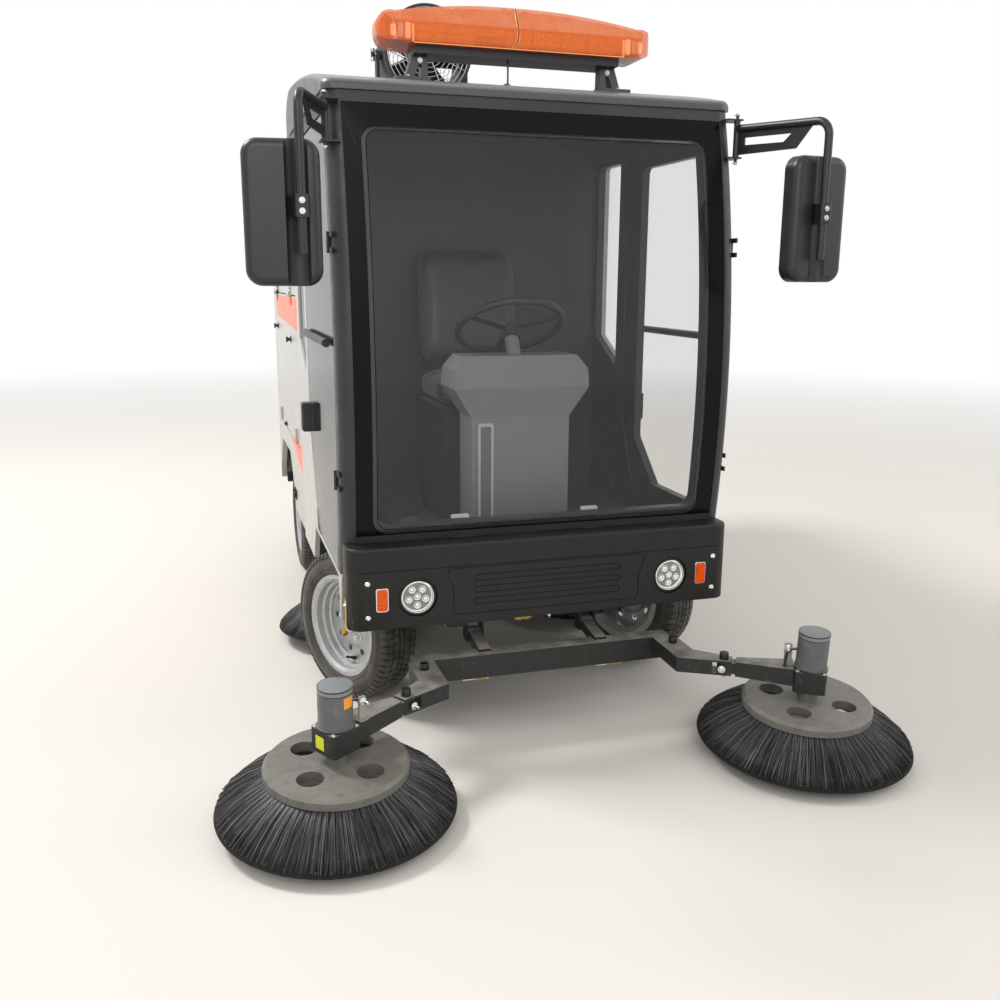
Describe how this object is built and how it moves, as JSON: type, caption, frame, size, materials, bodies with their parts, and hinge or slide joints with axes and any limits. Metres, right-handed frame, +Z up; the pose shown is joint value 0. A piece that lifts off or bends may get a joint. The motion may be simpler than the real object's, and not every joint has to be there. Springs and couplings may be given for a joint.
{
  "type": "compact road sweeper",
  "caption": "Enclosed ride-on road sweeper with a glazed cab, closed rear body, disc brushes in front and behind the front wheels, a roller brush and a roof light bar.",
  "frame": {"origin": "on the ground under the middle of the machine's bounding box", "axes": "-Y is forward, +X is the machine's left side, +Z is up"},
  "size_m": [2.124, 3.3289, 2.5059],
  "materials": {
    "charcoal_paint": "satin",
    "silver_paint": "satin",
    "grey_roof_paint": "satin",
    "black_frame_paint": "satin",
    "rim_silver": "satin",
    "dark_grey_motor": "satin",
    "tinted_glass": "polished",
    "lamp_glass": "polished",
    "amber_lens": "gloss",
    "red_lens": "gloss",
    "black_plastic": "moulded",
    "grey_plastic": "moulded",
    "plate_plastic": "moulded",
    "bristle_plastic": "strands",
    "tyre_rubber": "rubber",
    "seat_cover": "vinyl",
    "mirror_silver": "polished"
  },
  "bodies": {
    "machine": {"chassis_frame": "black_frame_paint", "axles": "black_frame_paint", "cab_frame": "charcoal_paint", "cab_roof": "grey_roof_paint", "cab_floor": "black_frame_paint", "side_panels": "silver_paint", "windscreen": "tinted_glass", "cab_glass": "tinted_glass", "front_bumper": "charcoal_paint", "headlamps": "lamp_glass", "indicators": "amber_lens", "console": "grey_plastic", "seat_frame": "black_frame_paint", "seat_cushions": "seat_cover", "rear_body": "silver_paint", "tail_lamps": "red_lens", "rear_bumper": "black_frame_paint", "battery_pack": "black_plastic", "waste_bin": "grey_plastic", "light_bar_base": "black_plastic", "light_bar_lens": "amber_lens", "fan_yoke": "black_frame_paint"},
    "knuckle_left": {"knuckle_left": "black_frame_paint"},
    "knuckle_right": {"knuckle_right": "black_frame_paint"},
    "steering_wheel": {"steering_wheel": "black_plastic"},
    "wheel_front_left": {"rim_front_left": "rim_silver", "tyre_front_left": "tyre_rubber"},
    "wheel_rear_left": {"rim_rear_left": "rim_silver", "tyre_rear_left": "tyre_rubber"},
    "cab_door_left": {"door_left": "charcoal_paint", "door_glass_left": "tinted_glass"},
    "service_door_left": {"service_door_left": "silver_paint"},
    "mirror_left": {"mirror_left": "black_plastic", "mirror_glass_left": "mirror_silver"},
    "front_arm_left": {"front_arm_left": "dark_grey_motor"},
    "front_brush_left": {"brush_plate_left": "plate_plastic", "bristles_left": "bristle_plastic"},
    "mid_arm_left": {"mid_arm_left": "dark_grey_motor"},
    "mid_brush_left": {"mid_brush_left": "bristle_plastic"},
    "wheel_front_right": {"rim_front_right": "rim_silver", "tyre_front_right": "tyre_rubber"},
    "wheel_rear_right": {"rim_rear_right": "rim_silver", "tyre_rear_right": "tyre_rubber"},
    "cab_door_right": {"door_right": "charcoal_paint", "door_glass_right": "tinted_glass"},
    "service_door_right": {"service_door_right": "silver_paint"},
    "mirror_right": {"mirror_right": "black_plastic", "mirror_glass_right": "mirror_silver"},
    "front_arm_right": {"front_arm_right": "dark_grey_motor"},
    "front_brush_right": {"brush_plate_right": "plate_plastic", "bristles_right": "bristle_plastic"},
    "mid_arm_right": {"mid_arm_right": "dark_grey_motor"},
    "mid_brush_right": {"mid_brush_right": "bristle_plastic"},
    "brush_beam": {"brush_beam": "dark_grey_motor"},
    "roller_brush": {"roller_brush": "bristle_plastic"},
    "rear_door": {"rear_door": "silver_paint"},
    "fan_drum": {"fan_drum": "black_plastic"},
    "fan_rotor": {"fan_rotor": "black_plastic"}
  },
  "joints": [
    {"name": "steer_left", "type": "hinge", "parent": "machine", "child": "knuckle_left", "pos_m": [0.47, -0.443, 0.266], "axis": [0, 0, 1], "range_deg": [-57, 5]},
    {"name": "roll_front_left", "type": "hinge", "parent": "knuckle_left", "child": "wheel_front_left", "pos_m": [0.54574, -0.40441, 0.266], "axis": [0.891, 0.454, 0], "continuous": true},
    {"name": "roll_rear_left", "type": "hinge", "parent": "machine", "child": "wheel_rear_left", "pos_m": [0.518, 1.17, 0.266], "axis": [1, 0, 0], "continuous": true},
    {"name": "cab_door_left_open", "type": "hinge", "parent": "machine", "child": "cab_door_left", "pos_m": [0.6515, -0.868, 1.2], "axis": [0, 0, -1], "range_deg": [0, 75]},
    {"name": "service_door_left_open", "type": "hinge", "parent": "machine", "child": "service_door_left", "pos_m": [0.6415, 0.95, 1.3825], "axis": [0, -1, 0], "range_deg": [0, 85]},
    {"name": "mirror_left_fold", "type": "hinge", "parent": "machine", "child": "mirror_left", "pos_m": [0.65, -0.865, 1.895], "axis": [0, 0, -1], "range_deg": [0, 40]},
    {"name": "front_arm_left_swing", "type": "hinge", "parent": "brush_beam", "child": "front_arm_left", "pos_m": [0.5125, -1.209, 0.264], "axis": [0, 0, 1], "range_deg": [-15, 20]},
    {"name": "front_brush_left_spin", "type": "hinge", "parent": "front_arm_left", "child": "front_brush_left", "pos_m": [0.733, -1.345, 0.186], "axis": [0, -0.0663, 0.9978], "continuous": true},
    {"name": "mid_arm_left_lift", "type": "hinge", "parent": "machine", "child": "mid_arm_left", "pos_m": [0.314, 0.11, 0.234], "axis": [0, -1, 0], "range_deg": [0, 8]},
    {"name": "mid_brush_left_spin", "type": "hinge", "parent": "mid_arm_left", "child": "mid_brush_left", "pos_m": [0.515, 0.11, 0.176], "axis": [0, 0, 1], "continuous": true},
    {"name": "steer_right", "type": "hinge", "parent": "machine", "child": "knuckle_right", "pos_m": [-0.47, -0.443, 0.266], "axis": [0, 0, 1], "range_deg": [-57, 5]},
    {"name": "roll_front_right", "type": "hinge", "parent": "knuckle_right", "child": "wheel_front_right", "pos_m": [-0.54574, -0.48159, 0.266], "axis": [0.891, 0.454, 0], "continuous": true},
    {"name": "roll_rear_right", "type": "hinge", "parent": "machine", "child": "wheel_rear_right", "pos_m": [-0.518, 1.17, 0.266], "axis": [1, 0, 0], "continuous": true},
    {"name": "cab_door_right_open", "type": "hinge", "parent": "machine", "child": "cab_door_right", "pos_m": [-0.6515, -0.868, 1.2], "axis": [0, 0, 1], "range_deg": [0, 75]},
    {"name": "service_door_right_open", "type": "hinge", "parent": "machine", "child": "service_door_right", "pos_m": [-0.6415, 0.95, 1.3825], "axis": [0, 1, 0], "range_deg": [0, 85]},
    {"name": "mirror_right_fold", "type": "hinge", "parent": "machine", "child": "mirror_right", "pos_m": [-0.65, -0.865, 1.895], "axis": [0, 0, 1], "range_deg": [0, 40]},
    {"name": "front_arm_right_swing", "type": "hinge", "parent": "brush_beam", "child": "front_arm_right", "pos_m": [-0.5125, -1.209, 0.264], "axis": [0, 0, -1], "range_deg": [-15, 20]},
    {"name": "front_brush_right_spin", "type": "hinge", "parent": "front_arm_right", "child": "front_brush_right", "pos_m": [-0.733, -1.345, 0.186], "axis": [0, -0.0663, 0.9978], "continuous": true},
    {"name": "mid_arm_right_lift", "type": "hinge", "parent": "machine", "child": "mid_arm_right", "pos_m": [-0.314, 0.11, 0.234], "axis": [0, 1, 0], "range_deg": [0, 8]},
    {"name": "mid_brush_right_spin", "type": "hinge", "parent": "mid_arm_right", "child": "mid_brush_right", "pos_m": [-0.515, 0.11, 0.176], "axis": [0, 0, 1], "continuous": true},
    {"name": "brush_beam_lift", "type": "hinge", "parent": "machine", "child": "brush_beam", "pos_m": [0, -0.8, 0.3], "axis": [-1, 0, 0], "range_deg": [0, 8]},
    {"name": "roller_spin", "type": "hinge", "parent": "machine", "child": "roller_brush", "pos_m": [0, 0.59, 0.168], "axis": [1, 0, 0], "continuous": true},
    {"name": "rear_door_open", "type": "hinge", "parent": "machine", "child": "rear_door", "pos_m": [0.5025, 1.6495, 1.16], "axis": [0, 0, -1], "range_deg": [0, 100]},
    {"name": "fan_tilt", "type": "hinge", "parent": "machine", "child": "fan_drum", "pos_m": [-0.09, 0.4, 2.33], "axis": [1, 0, 0], "range_deg": [-20, 20]},
    {"name": "fan_spin", "type": "hinge", "parent": "fan_drum", "child": "fan_rotor", "pos_m": [-0.09, 0.4, 2.33], "axis": [0, 1, 0], "continuous": true},
    {"name": "steering_wheel_turn", "type": "hinge", "parent": "machine", "child": "steering_wheel", "pos_m": [0, -0.54, 1.3], "axis": [0, 0.4983, 0.867], "range_deg": [-700, 70]}
  ],
  "couplings": [
    {"joint": "steer_right", "follows": "steer_left", "ratio": 1},
    {"joint": "steering_wheel_turn", "follows": "steer_left", "ratio": 12}
  ]
}
